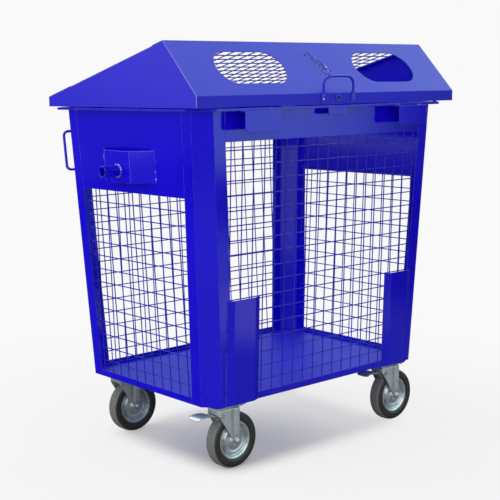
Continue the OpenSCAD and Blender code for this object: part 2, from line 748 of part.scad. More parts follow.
// Hinges along the rear rim
module hinge_spots() { for (i = [-1 : 1]) translate([i * hinge_pitch, hinge_y, hinge_z]) children(); }
module hinge_brackets() {
  drop = hinge_z - rim_top_z;
  color(blue) hinge_spots() {
    for (s = [-1, 1]) translate([s * (knuckle_l / 2 + play + ear_t / 2), 0, 0]) along_x(ear_t)
      difference() {
        union() {
          circle(d = knuckle_d);
          polygon([[-knuckle_d / 2 - 3, -drop], [knuckle_d / 2 + 5, -drop], [knuckle_d / 2, 0],
                   [-knuckle_d / 2, 0]]);
        }
        circle(d = pin_d + touch);
      }
  }
}
module hinge_pins() {
  l = knuckle_l + 2 * play + 2 * ear_t;
  color(zinc) hinge_spots() {
    rod_x(l, pin_d);
    for (s = [-1, 1]) translate([s * (l / 2 + 1.5), 0, 0]) rod_x(3, pin_d + 5);
  }
}
module lid_hinge_straps() {
  color(blue) hinge_spots() along_x(knuckle_l) difference() {
    union() {
      circle(d = knuckle_d);
      translate([-hinge_back, -strap_web / 2]) square([strap_t, strap_h]);
      translate([-hinge_back, -strap_web / 2]) square([hinge_back, strap_web]);
    }
    circle(d = pin_d + 2 * fit);
  }
}
module lid_stops() {
  color(rubber) for (sx = [-1, 1]) for (y = [-rim_front + 7, lid_rear - 1])
    translate([sx * (half_tl + rim_out - 90), y, rim_top_z])
      cylinder(h = skirt_z - rim_top_z - touch, d = 14);
}

// Turn lock: a face plate, a barrel with a triangular key and a hook under the rim
module lock_face() {
  color(zinc) translate([0, -lid_front, lock_z]) rotate([90, 0, 0]) difference() {
    cylinder(h = 3, d = lock_d);
    translate([0, 0, -1]) cylinder(h = 6, d = barrel_d + 2 * fit);
  }
}
module lock_barrel() {
  color(zinc) translate([0, 0, lock_z]) rotate([90, 0, 0]) {
    difference() {
      union() {
        translate([0, 0, lock_hook_y + 2]) cylinder(h = lid_front - lock_hook_y + 2.6, d = barrel_d);
        translate([0, 0, lid_front - sheet_t - play - 4]) cylinder(h = 4, d = barrel_d + 6);
        translate([0, 0, lid_front + 3 + play]) cylinder(h = 1.3, d = barrel_d + 3);
      }
      translate([0, 0, lid_front - 8]) cylinder(h = 20, d = barrel_d - 4);
    }
    translate([0, 0, lid_front - 9]) cylinder(h = 9, d = 9, $fn = 3);
  }
}
module lock_hook() {
  reach = lock_z - body_top_z + play;
  color(zinc) translate([0, -lock_hook_y, lock_z]) rotate([0, lock_turn, 0]) along_y(4) {
    circle(d = 24);
    translate([-5, -reach - 8]) square([10, reach + 8]);
    translate([-5, -reach - 8]) square([25, 8]);
  }
}

// Keeper chain: one strand from an eye on the slope to a ring on the handle, and its
// loose end lying down the slope
module ring(r, a = 360) {
  rotate_extrude(angle = a, $fn = 24) translate([r, 0]) circle(d = link_d, $fn = 16);
}
module wire(l) { cylinder(h = l, d = link_d, $fn = 16); }
module chain_link() {
  side = (link_w - link_d) / 2;
  half = link_l / 2 - link_d / 2 - side;
  for (s = [-1, 1]) {
    translate([s * side, -half, 0]) rotate([-90, 0, 0]) wire(2 * half);
    translate([0, s * half, 0]) rotate([0, 0, s > 0 ? 0 : 180]) ring(side, 180);
  }
}
module chain_run(count, pitch) {
  for (i = [0 : count - 1]) translate([0, i * pitch, 0]) rotate([0, i % 2 * 90, 0]) chain_link();
}
module on_slope() {
  translate([0, -lid_front, bend_z]) rotate([slope_f, 0, 0]) translate([eye_x, eye_up, 0]) children();
}
module keeper_chain() {
  eye = [eye_x, -lid_front + eye_up * cos(slope_f) - (eye_leg + eye_r) * sin(slope_f),
         bend_z + eye_up * sin(slope_f) + (eye_leg + eye_r) * cos(slope_f)];
  ring_in = (pull_d + link_d + 1.1) / 2;
  ring_y = ring_in - pull_d / 2 - play;
  corner = [pull_bend - pull_l / 2, pull_y, pull_z - pull_bend];
  hook = corner + [-pull_bend * sin(bend_turn), ring_y + ring_in - play - link_d / 2,
                   pull_bend * cos(bend_turn)];
  way = eye - hook;
  first = (link_l - link_d) / 2;
  last = link_l / 2 - 1.6 * link_d;
  pitch = (norm(way) - first - last) / (link_count - 1);
  color(blue) {
    translate(hook) rotate([atan2(way[2], norm([way[0], way[1]])), 0, -atan2(way[0], way[1])])
      translate([0, first, 0]) chain_run(link_count, pitch);
    translate(corner) rotate([0, -bend_turn, 0]) translate([0, ring_y, pull_bend])
      rotate([0, 90, 0]) ring(ring_in + link_d / 2);
    on_slope() {
      translate([0, 0, eye_leg]) rotate([90, 0, 0]) ring(eye_r, 180);
      for (s = [-1, 1]) translate([s * eye_r, 0, touch]) wire(eye_leg - touch);
      translate([eye_r, 0, link_w / 2 + touch]) rotate([0, 0, 180 + loose_turn])
        translate([0, 5, 0]) chain_run(loose_count, link_l - 2 * link_d - touch);
    }
  }
}

centred() floor_pan();
centred() bottom_rails();
centred() corner_post(-1, -1);  // corner_post_front_left
centred() corner_post(1, -1);  // corner_post_front_right
centred() corner_post(-1, 1);  // corner_post_rear_left
centred() corner_post(1, 1);  // corner_post_rear_right
centred() color(blue) on_left() end_panel();  // end_panel_left
centred() color(blue) on_right() end_panel();  // end_panel_right
centred() color(blue) on_front() header();  // front_header
centred() color(blue) on_rear() header();  // rear_header
centred() color(blue) on_front() long_mesh();  // mesh_front
centred() color(blue) on_rear() long_mesh();  // mesh_rear
centred() color(blue) on_left() end_mesh();  // mesh_left
centred() color(blue) on_right() end_mesh();  // mesh_right
centred() top_rim();
centred() comb_plates();
centred() striker_plate();
centred() buffer_plates();
centred() trunnion_bracket(-1);  // trunnion_bracket_left
centred() trunnion_bracket(1);  // trunnion_bracket_right
centred() trunnion(-1);  // trunnion_left
centred() trunnion(1);  // trunnion_right
centred() rear_handles();
centred() castor_pads();
centred() castor_plates();
centred() castor_bolts();
centred() hinge_brackets();
centred() hinge_pins();
centred() lid_stops();
centred() lid_front_sheet();
centred() lid_eave_sheet();
centred() mirror([1, 0, 0]) lid_gable();  // lid_gable_left
centred() lid_gable();  // lid_gable_right
centred() lid_mesh();
centred() lid_handle();
centred() handle_rivets();
centred() lid_hinge_straps();
centred() lock_face();
centred() keeper_chain();
centred() lock_barrel();
centred() lock_hook();
centred() at_castor(-1, -1) fork(true);  // fork_front_left
centred() at_castor(1, -1) fork(true);  // fork_front_right
centred() at_castor(-1, 1) fork(false);  // fork_rear_left
centred() at_castor(1, 1) fork(false);  // fork_rear_right
centred() at_castor(-1, -1) axle();  // axle_front_left
centred() at_castor(1, -1) axle();  // axle_front_right
centred() at_castor(-1, 1) axle();  // axle_rear_left
centred() at_castor(1, 1) axle();  // axle_rear_right
centred() at_castor(-1, -1) wheel_rim();  // rim_front_left
centred() at_castor(1, -1) wheel_rim();  // rim_front_right
centred() at_castor(-1, 1) wheel_rim();  // rim_rear_left
centred() at_castor(1, 1) wheel_rim();  // rim_rear_right
centred() at_castor(-1, -1) tyre();  // tyre_front_left
centred() at_castor(1, -1) tyre();  // tyre_front_right
centred() at_castor(-1, 1) tyre();  // tyre_rear_left
centred() at_castor(1, 1) tyre();  // tyre_rear_right
centred() at_castor(-1, -1) brake_pedal();  // brake_pedal_left
centred() at_castor(1, -1) brake_pedal();  // brake_pedal_right
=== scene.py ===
import json
import math

import bmesh
import bpy
from mathutils import Matrix, Vector

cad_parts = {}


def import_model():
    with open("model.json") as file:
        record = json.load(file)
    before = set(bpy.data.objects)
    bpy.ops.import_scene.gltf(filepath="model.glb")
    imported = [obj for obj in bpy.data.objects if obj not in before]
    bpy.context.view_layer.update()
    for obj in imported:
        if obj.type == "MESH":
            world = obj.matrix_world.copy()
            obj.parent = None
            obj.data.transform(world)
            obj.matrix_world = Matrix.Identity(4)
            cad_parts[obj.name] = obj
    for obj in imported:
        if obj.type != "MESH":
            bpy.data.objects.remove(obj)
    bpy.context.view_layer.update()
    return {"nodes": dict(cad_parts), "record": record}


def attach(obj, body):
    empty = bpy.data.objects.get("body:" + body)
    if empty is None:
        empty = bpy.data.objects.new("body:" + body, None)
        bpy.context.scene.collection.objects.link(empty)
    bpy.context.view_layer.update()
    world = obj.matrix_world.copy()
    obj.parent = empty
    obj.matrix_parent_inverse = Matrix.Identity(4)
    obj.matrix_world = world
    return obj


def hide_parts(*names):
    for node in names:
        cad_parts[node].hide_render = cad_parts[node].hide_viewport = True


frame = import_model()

nodes = frame["nodes"]
slots = {row["node"]: row["material_slot"] for row in frame["record"]["subparts"]}

# Sizes that the pieces share with the container, in metres
box_shift = 0.0115  # how far the container's middle lies along Y
castor_x = 0.417
castor_y = 0.292
trail = 0.040  # from a castor's pin to its axle
axle_z = 0.100
cheek_y = 0.0328  # outer faces of a fork's cheeks
crown_top_z = 0.2245
plate_low_z = 0.233
plate_top_z = 0.238
pedal_x = -0.026
pedal_z = 0.200
corners = {"front_left": (-1, -1), "front_right": (1, -1),
           "rear_left": (-1, 1), "rear_right": (1, 1)}


def add_object(name, data):
    made = bpy.data.objects.new(name, data)
    bpy.context.scene.collection.objects.link(made)
    return made


# Camera, solved from the photograph's own edges
picture = 500  # pixels along a side
focal = 1129.10  # pixels
centre_px = (238.245, 256.248)
turn, pitch, roll = (math.radians(a) for a in (48.937, 8.821, -0.736))
eye = Vector((-2.8458, -3.1753 + box_shift, 1.3326))
sensor_mm = 36
far_end = 60


def camera():
    ahead = Vector((math.cos(turn) * math.cos(pitch), math.sin(turn) * math.cos(pitch),
                    -math.sin(pitch)))
    right = Vector((math.sin(turn), -math.cos(turn), 0))
    up = right.cross(ahead)
    right, up = (math.cos(roll) * right + math.sin(roll) * up,
                 math.cos(roll) * up - math.sin(roll) * right)
    data = bpy.data.cameras.new("camera")
    data.sensor_width = sensor_mm
    data.lens = focal / picture * sensor_mm
    data.shift_x = (picture / 2 - centre_px[0]) / picture
    data.shift_y = (centre_px[1] - picture / 2) / picture
    data.clip_end = far_end
    body = add_object("camera", data)
    axes = Matrix((right, up, -ahead)).transposed().to_4x4()
    body.matrix_world = Matrix.Translation(eye) @ axes
    bpy.context.scene.camera = body


# Shader maths as Python expressions
class Socket:
    """An output socket, with the operators that the finishes use."""

    def __init__(self, finish, link):
        self.finish = finish
        self.link = link

    def maths(self, operation, *others):
        return self.finish.maths(operation, self, *others)

    def __add__(self, other):
        return self.maths("ADD", other)

    def __sub__(self, other):
        return self.maths("SUBTRACT", other)

    def __rsub__(self, other):
        return self.finish.maths("SUBTRACT", other, self)

    def __mul__(self, other):
        return self.maths("MULTIPLY", other)

    def __truediv__(self, other):
        return self.maths("DIVIDE", other)

    __radd__ = __add__
    __rmul__ = __mul__

    def between(self, low, high):
        """0 up to low, 1 from high on, and a smooth rise between them."""
        return self.finish.node("ShaderNodeMapRange", {"interpolation_type": "SMOOTHSTEP"},
                                self, low, high, 0.0, 1.0)


def length(x, y):
    """The length of a flat vector of two sockets."""
    return (x * x + y * y).maths("SQRT")


def opaque(value):
    """A colour with its alpha. Sockets and numbers stay as they are."""
    return (*value, 1) if isinstance(value, tuple) else value


bevel_samples = 4


class Finish:
    """A node tree under construction."""

    def __init__(self, tree):
        self.tree = tree

    def feed(self, socket, value):
        """Link an input to a socket, or set it to a constant."""
        if isinstance(value, Socket):
            self.tree.links.new(value.link, socket)
        elif value is not None:
            socket.default_value = value

    def node(self, kind, settings=None, *values, output=0, **named):
        """A new node with its settings, and with its inputs by place or by name."""
        made = self.tree.nodes.new(kind)
        for key, value in (settings or {}).items():
            setattr(made, key, value)
        for where, value in [*enumerate(values), *named.items()]:
            self.feed(made.inputs[where], value)
        return Socket(self, made.outputs[output])

    def maths(self, operation, *values):
        return self.node("ShaderNodeMath", {"operation": operation}, *values)

    def mix(self, share, first, second):
        """A colour between two others."""
        made = self.tree.nodes.new("ShaderNodeMix")
        made.data_type = "RGBA"
        factor, colour_a, colour_b, result = 0, 6, 7, 2
        self.feed(made.inputs[factor], share)
        self.feed(made.inputs[colour_a], opaque(first))
        self.feed(made.inputs[colour_b], opaque(second))
        return Socket(self, made.outputs[result])

    def ray(self, kind):
        """1 for rays of one kind and 0 for all others."""
        return self.node("ShaderNodeLightPath", output=f"Is {kind} Ray")

    def place(self):
        return self.node("ShaderNodeTexCoord", output="Object")

    def point(self, x, y):
        return self.node("ShaderNodeCombineXYZ", None, x, y, 0.0)

    def noise(self, scale, detail=2.0, roughness=0.5, where=None, stretch=None):
        where = where or self.place()
        if stretch:
            where = self.node("ShaderNodeVectorMath", {"operation": "MULTIPLY"}, where, stretch)
        return self.node("ShaderNodeTexNoise", None, Vector=where, Scale=scale, Detail=detail,
                         Roughness=roughness)

    def bump(self, height, distance, strength, normal=None):
        return self.node("ShaderNodeBump", None, Strength=strength, Distance=distance,
                         Height=height, Normal=normal)

    def rounded(self, radius):
        """The normal that the surface would have with its edges rounded."""
        return self.node("ShaderNodeBevel", {"samples": bevel_samples}, radius)

    def edges(self, radius):
        """0 on flats, rising at folds and cut edges."""
        true = self.node("ShaderNodeNewGeometry", output="Normal")
        match = self.node("ShaderNodeVectorMath", {"operation": "DOT_PRODUCT"},
                          self.rounded(radius), true, output="Value")
        return 1 - match

    def along(self, axis, where=None):
        """How far the surface is along one of its object's axes."""
        return self.node("ShaderNodeSeparateXYZ", None, where or self.place(),
                         output="XYZ".index(axis))

    def from_axle(self):
        """Distance from the Y axis of a turned piece, whose origin is its centre."""
        return length(self.along("X"), self.along("Z"))


def material(name):
    """A new material, its finish, and the function that feeds its shader."""
    made = bpy.data.materials.new(name)
    made.use_nodes = True
    shader = made.node_tree.nodes["Principled BSDF"]
    finish = Finish(made.node_tree)

    def feed(**inputs):
        for key, value in inputs.items():
            finish.feed(shader.inputs[key.replace("_", " ")], opaque(value))

    return made, finish, feed


enamel_ior = 1.48
thick_enamel_ior = 1.52
zinc_metallic = 0.75
zinc_fold, rubber_fold = 0.0009, 0.0008  # radius of their rounded edges
fleck_rise = 0.05  # from a fleck's edge to its full brightness, in noise


def paint(name, deep, pale, fold, rough=0.07, worn=(0.20, 0.18, 0.78), gloss=0.5):
    """Gloss ultramarine enamel: orange peel, faint clouds and fine dust, with a soft painted
    highlight
    along its edges: a paler colour, broken up by the dust, out to the radius fold from an edge."""
    made, finish, feed = material(name)
    clouds = finish.noise(scale=3.2, detail=3.0)
    peel = finish.noise(scale=420.0)
    waves = finish.noise(scale=8.0, detail=1.0)
    dust_and_glint = finish.noise(scale=60.0, detail=4.0, roughness=0.6)
    skin = finish.bump(peel, distance=0.00004, strength=0.5, normal=finish.rounded(fold))
    coat = finish.mix(clouds.between(0.35, 0.7) * 0.7 + dust_and_glint * 0.2, deep, pale)
    # Painted highlight: a paler colour along folds and cut edges, broken up by the dust noise.
    painted_edge_glint = finish.edges(fold).between(0.02, 0.14) * dust_and_glint.between(0.35, 0.6)
    feed(Base_Color=finish.mix(painted_edge_glint * 0.6, coat, worn),
         Roughness=rough + clouds * 0.08 + dust_and_glint.between(0.5, 0.8) * 0.06,
         Normal=finish.bump(waves, distance=0.0005, strength=0.35, normal=skin),
         Specular_IOR_Level=gloss, IOR=enamel_ior)
    return made


def enamel_with_glints(name, deep, pale, bare, fleck_scale, fleck_low):
    """Thick gloss enamel on small round parts, with painted highlights as bright flecks over it."""
    made, finish, feed = material(name)
    pools = finish.noise(scale=180.0, roughness=0.6)
    glint_flecks = finish.noise(fleck_scale).between(fleck_low, fleck_low + fleck_rise)
    coat = finish.mix(pools.between(0.40, 0.60), deep, pale)
    # Painted highlights: bright bluish-white flecks over the coat.
    feed(Base_Color=finish.mix(glint_flecks, coat, bare),
         Metallic=glint_flecks * 0.15,
         Roughness=0.14 + pools * 0.12,
         Normal=finish.bump(pools, distance=0.0003, strength=0.6),
         IOR=thick_enamel_ior)
    return made


def zinc(name, tone, dark, rough=0.26, groove=None):
    """Bright zinc plate: cloudy patches, fine brushing and a darker bloom in places, and painted
    shade in the groove, which is given by the places along X where it starts, is full, fades and
    ends."""
    made, finish, feed = material(name)
    patches = finish.noise(scale=26.0, detail=4.0, roughness=0.6)
    bloom = finish.noise(scale=90.0, detail=3.0, roughness=0.55)
    brushed = finish.noise(scale=160.0, detail=3.0, roughness=0.6, stretch=(1.0, 1.0, 9.0))
    tone_and_painted_shade = patches.between(0.38, 0.7) * 0.4 + bloom * 0.25
    # Painted shade along the groove beside the fork's raised band.
    if groove:
        start, full, fade, end = groove
        x = finish.along("X")
        tone_and_painted_shade = tone_and_painted_shade + x.between(start, full) * (1 - x.between(fade, end)) * 0.75
    feed(Base_Color=finish.mix(tone_and_painted_shade, tone, dark),
         Metallic=zinc_metallic,
         Roughness=rough + patches * 0.2 + brushed * 0.06,
         Normal=finish.bump(brushed, distance=0.00006, strength=0.4,
                            normal=finish.rounded(zinc_fold)))
    return made


def wheel_zinc(name, tone, dark):
    """Pressed wheel disc: faint rings left by the press and cloudy swirls, and painted shade in the
    deepest part of its dish."""
    made, finish, feed = material(name)
    radius = finish.from_axle()
    swirl = finish.noise(scale=46.0, detail=3.0, roughness=0.65)
    rings = finish.noise(scale=5.0, detail=3.0, roughness=0.6,
                         where=finish.point(radius * 60.0, swirl * 0.5))
    # Painted shade: darker in the ring where the dish is deepest.
    outside_dish_shade = (1 - radius.between(0.044, 0.047)) + radius.between(0.057, 0.060)
    tone_and_painted_shade = swirl.between(0.42, 0.66) * 0.45 + rings * 0.2 + (1 - outside_dish_shade) * 0.35
    feed(Base_Color=finish.mix(tone_and_painted_shade, tone, dark),
         Metallic=zinc_metallic,
         Roughness=0.3 + swirl * 0.16 + rings * 0.08,
         Normal=finish.bump(rings, distance=0.0004, strength=0.5))
    return made


def rubber(name, tone, dusty):
    """Moulded rubber with a fine grain and a dusty film."""
    made, finish, feed = material(name)
    grain = finish.noise(scale=380.0, detail=3.0, roughness=0.6)
    smear = finish.noise(scale=18.0, detail=3.0, roughness=0.6)
    feed(Base_Color=finish.mix(smear.between(0.4, 0.75) * 0.6 + grain * 0.25, tone, dusty),
         Roughness=0.55 + smear * 0.2,
         Normal=finish.bump(grain, distance=0.00015, strength=0.5,
                            normal=finish.rounded(rubber_fold)))
    return made


def tyre(name, wall, scuffed, worn):
    """Solid rubber tyre: a brown-black wall with paler arcs, and a grey worn tread."""
    made, finish, feed = material(name)
    radius = finish.from_axle()
    grain = finish.noise(scale=300.0, detail=3.0, roughness=0.6)
    smear = finish.noise(scale=24.0, detail=3.0, roughness=0.6)
    arcs = finish.noise(scale=4.0, where=finish.point(radius * 150.0, smear * 1.5))
    tread = radius.between(0.0925, 0.0975)
    side = finish.mix(arcs.between(0.5, 0.75) * 0.7 + smear * 0.2, wall, scuffed)
    feed(Base_Color=finish.mix(tread * (0.75 + grain * 0.3), side, worn),
         Roughness=0.42 + tread * 0.3 + smear * 0.1,
         Normal=finish.bump(grain * 0.6 + arcs * 0.4, distance=0.0002, strength=0.5))
    return made


# How each finish is made, with its colours and measures
looks = {
    "blue_paint": (paint, dict(
        deep=(0.007, 0.001, 0.64), pale=(0.009, 0.002, 0.71), fold=0.003)),
    # Rougher than the blue enamel, and lighter and greyer: painted haze on the floor pan.
    "pan_paint": (paint, dict(
        deep=(0.014, 0.012, 0.70), pale=(0.020, 0.018, 0.76), fold=0.002, rough=0.42)),
    "blue_wire": (paint, dict(
        deep=(0.010, 0.008, 0.50), pale=(0.015, 0.012, 0.58), fold=0.0008, rough=0.24,
        worn=(0.03, 0.03, 0.62))),
    # The bright flecks of these two finishes paint glints on the chain, the handle's rivets and the
    # welds.
    "chain_paint": (enamel_with_glints, dict(
        deep=(0.010, 0.010, 0.42), pale=(0.06, 0.06, 0.62), bare=(0.62, 0.67, 1.0),
        fleck_scale=110.0, fleck_low=0.60)),
    "weld_paint": (enamel_with_glints, dict(
        deep=(0.010, 0.004, 0.60), pale=(0.10, 0.09, 0.76), bare=(0.62, 0.66, 1.0),
        fleck_scale=150.0, fleck_low=0.59)),
    "lid_paint": (paint, dict(
        deep=(0.007, 0.002, 0.62), pale=(0.009, 0.003, 0.68), fold=0.003, rough=0.31)),
    # A brighter blue with less gloss for the right gable's inside face under the lid: painted
    # light.
    "gable_paint": (paint, dict(
        deep=(0.006, 0.001, 0.72), pale=(0.008, 0.002, 0.78), fold=0.003, gloss=0.12)),
    # Its pale edge colour paints a brighter highlight along the trunnion brackets' folds.
    "bracket_paint": (paint, dict(
        deep=(0.008, 0.001, 0.66), pale=(0.010, 0.002, 0.73), fold=0.0016,
        worn=(0.46, 0.45, 0.95))),
    # Pale lilac for the edge beads: painted highlights along the gables' edges and the brackets'
    # folds.
    "edge_paint": (paint, dict(
        deep=(0.26, 0.24, 0.76), pale=(0.46, 0.43, 0.90), fold=0.0005, rough=0.12)),
    "fold_paint": (paint, dict(
        deep=(0.09, 0.08, 0.68), pale=(0.18, 0.17, 0.80), fold=0.0005, rough=0.12)),
    "zinc_steel": (zinc, dict(tone=(0.78, 0.83, 0.85), dark=(0.46, 0.51, 0.53))),
    "wheel_disc": (wheel_zinc, dict(tone=(0.84, 0.86, 0.87), dark=(0.33, 0.36, 0.38))),
    # The fork's zinc, with painted shade in the groove beside its raised band.
    "fork_zinc": (zinc, dict(
        tone=(0.87, 0.90, 0.91), dark=(0.52, 0.57, 0.59),
        groove=(0.0130, 0.0190, 0.0225, 0.0265))),
    "pin_steel": (zinc, dict(tone=(0.66, 0.69, 0.71), dark=(0.30, 0.32, 0.34), rough=0.30)),
    "lock_metal": (paint, dict(
        deep=(0.012, 0.012, 0.44), pale=(0.020, 0.018, 0.56), fold=0.001)),
    "tyre_rubber": (tyre, dict(
        wall=(0.030, 0.026, 0.024), scuffed=(0.075, 0.068, 0.064), worn=(0.210, 0.210, 0.206))),
    "stop_rubber": (rubber, dict(tone=(0.015, 0.015, 0.015), dusty=(0.030, 0.030, 0.030))),
}
finishes = {name: maker(name, **values) for name, (maker, values) in looks.items()}


def dress(piece, name):
    if not piece.data.materials:
        piece.data.materials.append(None)
    for slot in piece.material_slots:
        slot.material = finishes[name]


def angles(count):
    """The angles of points that are spaced evenly round a circle."""
    return [2 * math.pi * i / count for i in range(count)]


same_point = 0.00001  # points as near as this are joined
nut_chamfer = 0.08  # of the nut's width across its corners
plain_step, weld_step = 0.004, 0.0009  # along a bead
weld_scale = 0.0035  # length of one scale of a weld
steep = 0.9  # part of a bead's way that goes along Z
aside_of_flat = Vector((0.31, 0.17, 0.93))  # lie well off the way of a flat or a steep bead
aside_of_steep = Vector((0.9, 0.3, 0.1))


class Shape:
    """A shape made of rings of points, each joined to the next."""

    def __init__(self):
        self.mesh = bmesh.new()

    def skin(self, rings, round_=True, closed=False):
        """Faces between the rings. Rings that aren't round are open lines of points. A run of
        round rings is capped at both ends, unless it closes on itself."""
        rows = [[self.mesh.verts.new(point) for point in ring] for ring in rings]
        count = len(rows[0])
        pairs = [*zip(rows, rows[1:])] + ([(rows[-1], rows[0])] if closed else [])
        for low, high in pairs:
            for i in range(count if round_ else count - 1):
                j = (i + 1) % count
                self.mesh.faces.new((low[i], low[j], high[j], high[i]))
        if round_ and not closed:
            self.mesh.faces.new(rows[0][::-1])
            self.mesh.faces.new(rows[-1])

    def turned(self, profile, place, steps=96, closed=False):
        """A profile of (radius, height) turned about the Z axis of its place."""
        self.skin([[place @ Vector((r * math.cos(a), r * math.sin(a), h)) for a in angles(steps)]
                   for r, h in profile], closed=closed)

    def prism(self, outline, low, high, place, edge):
        """An outline in XY, drawn up along Z, with its two rims broken by a small edge."""
        middle = sum((Vector(p) for p in outline), Vector((0, 0))) / len(outline)
        widest = max((Vector(p) - middle).length for p in outline)

        def ring(height, inset):
            return [place @ (middle + (Vector(p) - middle) * (1 - inset / widest)).to_3d()
                    + place.to_3x3() @ Vector((0, 0, height)) for p in outline]

        self.skin([ring(low, edge), ring(low + edge, 0), ring(high - edge, 0), ring(high, edge)])

    def nut(self, place, across, height):
        """A hexagon nut or bolt head with turned-down corners."""
        hexagon = [(across / 2 * math.cos(a), across / 2 * math.sin(a))
                   for a in (math.pi / 3 * i for i in range(6))]
        self.prism(hexagon, 0, height, place, nut_chamfer * across)

    def bead(self, points, radius, ripple=0.0, closed=False, sides=10):
        """A round bead along a line of points. A ripple gives it the scales of a weld."""
        points = [Vector(p) for p in points]
        ends = points + points[:1] if closed else points
        line = []
        for a, b in zip(ends, ends[1:]):
            steps = max(1, round((b - a).length / (weld_step if ripple else plain_step)))
            line += [a.lerp(b, i / steps) for i in range(steps)]
        line += [] if closed else [ends[-1]]
        rings = []
        run = 0.0
        for i, point in enumerate(line):
            back = line[i - 1] if closed or i else point
            ahead = line[(i + 1) % len(line)] if closed or i < len(line) - 1 else point
            run += (point - back).length if i else 0.0
            way = (ahead - back).normalized()
            side = way.cross(aside_of_flat if abs(way.z) < steep else aside_of_steep)
            side.normalize()
            rise = side.cross(way)
            r = radius * (1 + ripple * abs(math.sin(math.pi * run / weld_scale)))
            rings.append([point + r * (math.cos(a) * side + math.sin(a) * rise)
                          for a in angles(sides)])
        self.skin(rings, closed=closed)

    def piece(self, name, finish, body, stands_for=(), origin=(0, 0, 0), slot=None, crease=40):
        """The finished shape as an object that rides on its body and replaces its nodes. Edges
        that turn by more than crease degrees stay sharp."""
        bmesh.ops.remove_doubles(self.mesh, verts=self.mesh.verts, dist=same_point)
        bmesh.ops.recalc_face_normals(self.mesh, faces=self.mesh.faces)
        mesh = bpy.data.meshes.new(name)
        self.mesh.to_mesh(mesh)
        self.mesh.free()
        made = add_object(name, mesh)
        made.location = origin
        mesh.shade_smooth()
        mesh.set_sharp_from_angle(angle=math.radians(crease))
        dress(made, finish)
        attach(made, body)
        if stands_for:
            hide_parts(*stands_for)
        return made


def facing(centre, axis):
    """A place at a centre, with its Z axis along the axis that is given."""
    return Matrix.Translation(centre) @ Vector(axis).to_track_quat("Z", "Y").to_matrix().to_4x4()


def smooth(x, low, high):
    share = min(max((x - low) / (high - low), 0.0), 1.0)
    return share * share * (3 - 2 * share)


def thicken(piece, thickness, even=False):
    """Give a piece that is drawn as a surface the thickness of its sheet."""
    sheet = piece.modifiers.new("sheet", "SOLIDIFY")
    sheet.thickness = thickness
    sheet.offset = -1
    sheet.use_even_offset = even


# Wheels, about their own centre, with the axle along Y. The outer half of each profile is
# given as (radius, distance from the wheel's middle), and the other half mirrors it.
tyre_half = [
    (0.1000, 0.0040), (0.0988, 0.0046), (0.0988, 0.0062), (0.1000, 0.0068), (0.0998, 0.0100),
    (0.0986, 0.0105), (0.0986, 0.0120), (0.0995, 0.0126), (0.0985, 0.0165), (0.0962, 0.0205),
    (0.0930, 0.0232), (0.0892, 0.0246), (0.0860, 0.0250), (0.0820, 0.0249), (0.0785, 0.0243),
    (0.0770, 0.0246), (0.0745, 0.0244), (0.0720, 0.0234), (0.0700, 0.0218), (0.0684, 0.0200)]
tyre_seat = [(0.0676, 0.0190), (0.0676, -0.0190)]
disc_half = [
    (0.0101, 0.0278), (0.0108, 0.0285), (0.0172, 0.0285), (0.0180, 0.0277), (0.0184, 0.0240),
    (0.0205, 0.0200), (0.0245, 0.0175), (0.0310, 0.0160), (0.0365, 0.0152), (0.0385, 0.0158),
    (0.0405, 0.0172), (0.0425, 0.0176), (0.0445, 0.0165), (0.0470, 0.0125), (0.0500, 0.0092),
    (0.0540, 0.0080), (0.0565, 0.0086), (0.0585, 0.0112), (0.0605, 0.0160), (0.0625, 0.0192),
    (0.0645, 0.0203), (0.0664, 0.0206), (0.0674, 0.0200)]


def wheel_part(half, seat=()):
    shape = Shape()
    profile = [(r, -h) for r, h in reversed(half)] + half + [*seat]
    shape.turned(profile, facing((0, 0, 0), (0, 1, 0)), closed=True)
    return shape


def wheel_pieces(corner, centre):
    """The moulded tyre with its grooves, and the pressed disc."""
    body = f"wheel_{corner}"
    wheel_part(tyre_half, tyre_seat).piece(f"tyre_{corner}_moulded", "tyre_rubber", body,
                                           [f"tyre_{corner}"], centre)
    wheel_part(disc_half).piece(f"wheel_disc_{corner}", "wheel_disc", body, [f"rim_{corner}"],
                                centre, "zinc_steel")


# Forks, about the castor pin on the ground
cheek_back, cheek_front = -0.042, 0.050
heel_z = 0.205  # back end of the slant
slant_run, slant_fall, slant_end_z = 0.062, 0.095, 0.110
slant_end, round_start = 0.020, 0.030
axle_eye_r = 0.010
# Where along X, and at which height, the pressed forms rise and fade
band_rise, band_fade, band_foot = (0.0200, 0.0285), (0.0465, 0.0500), (0.1110, 0.1200)
band_height, band_drop = 0.0049, 0.45
groove_rise, groove_fade = (0.0110, 0.0170), (0.0195, 0.0240)
groove_foot, groove_head = (0.1150, 0.1350), (0.200, 0.214)
groove_depth = 0.0016


def fork_foot(x):
    """Height of the cheek's lower edge: a long slant from the back to the eye round the axle."""
    if x <= slant_end:
        return heel_z - (x - cheek_back) / slant_run * slant_fall
    if x <= round_start:
        return slant_end_z - (x - slant_end)
    return axle_z - math.sqrt(max(axle_eye_r ** 2 - (x - trail) ** 2, 0.0))


def fork_press(x, z):
    """How far the cheek stands out: a raised band over the axle and a groove beside it."""
    band = smooth(x, *band_rise) * (1 - band_drop * smooth(x, *band_fade))
    groove = smooth(x, *groove_rise) * (1 - smooth(x, *groove_fade))
    return (band_height * band * smooth(z, *band_foot)
            - groove_depth * groove * smooth(z, *groove_foot) * (1 - smooth(z, *groove_head)))


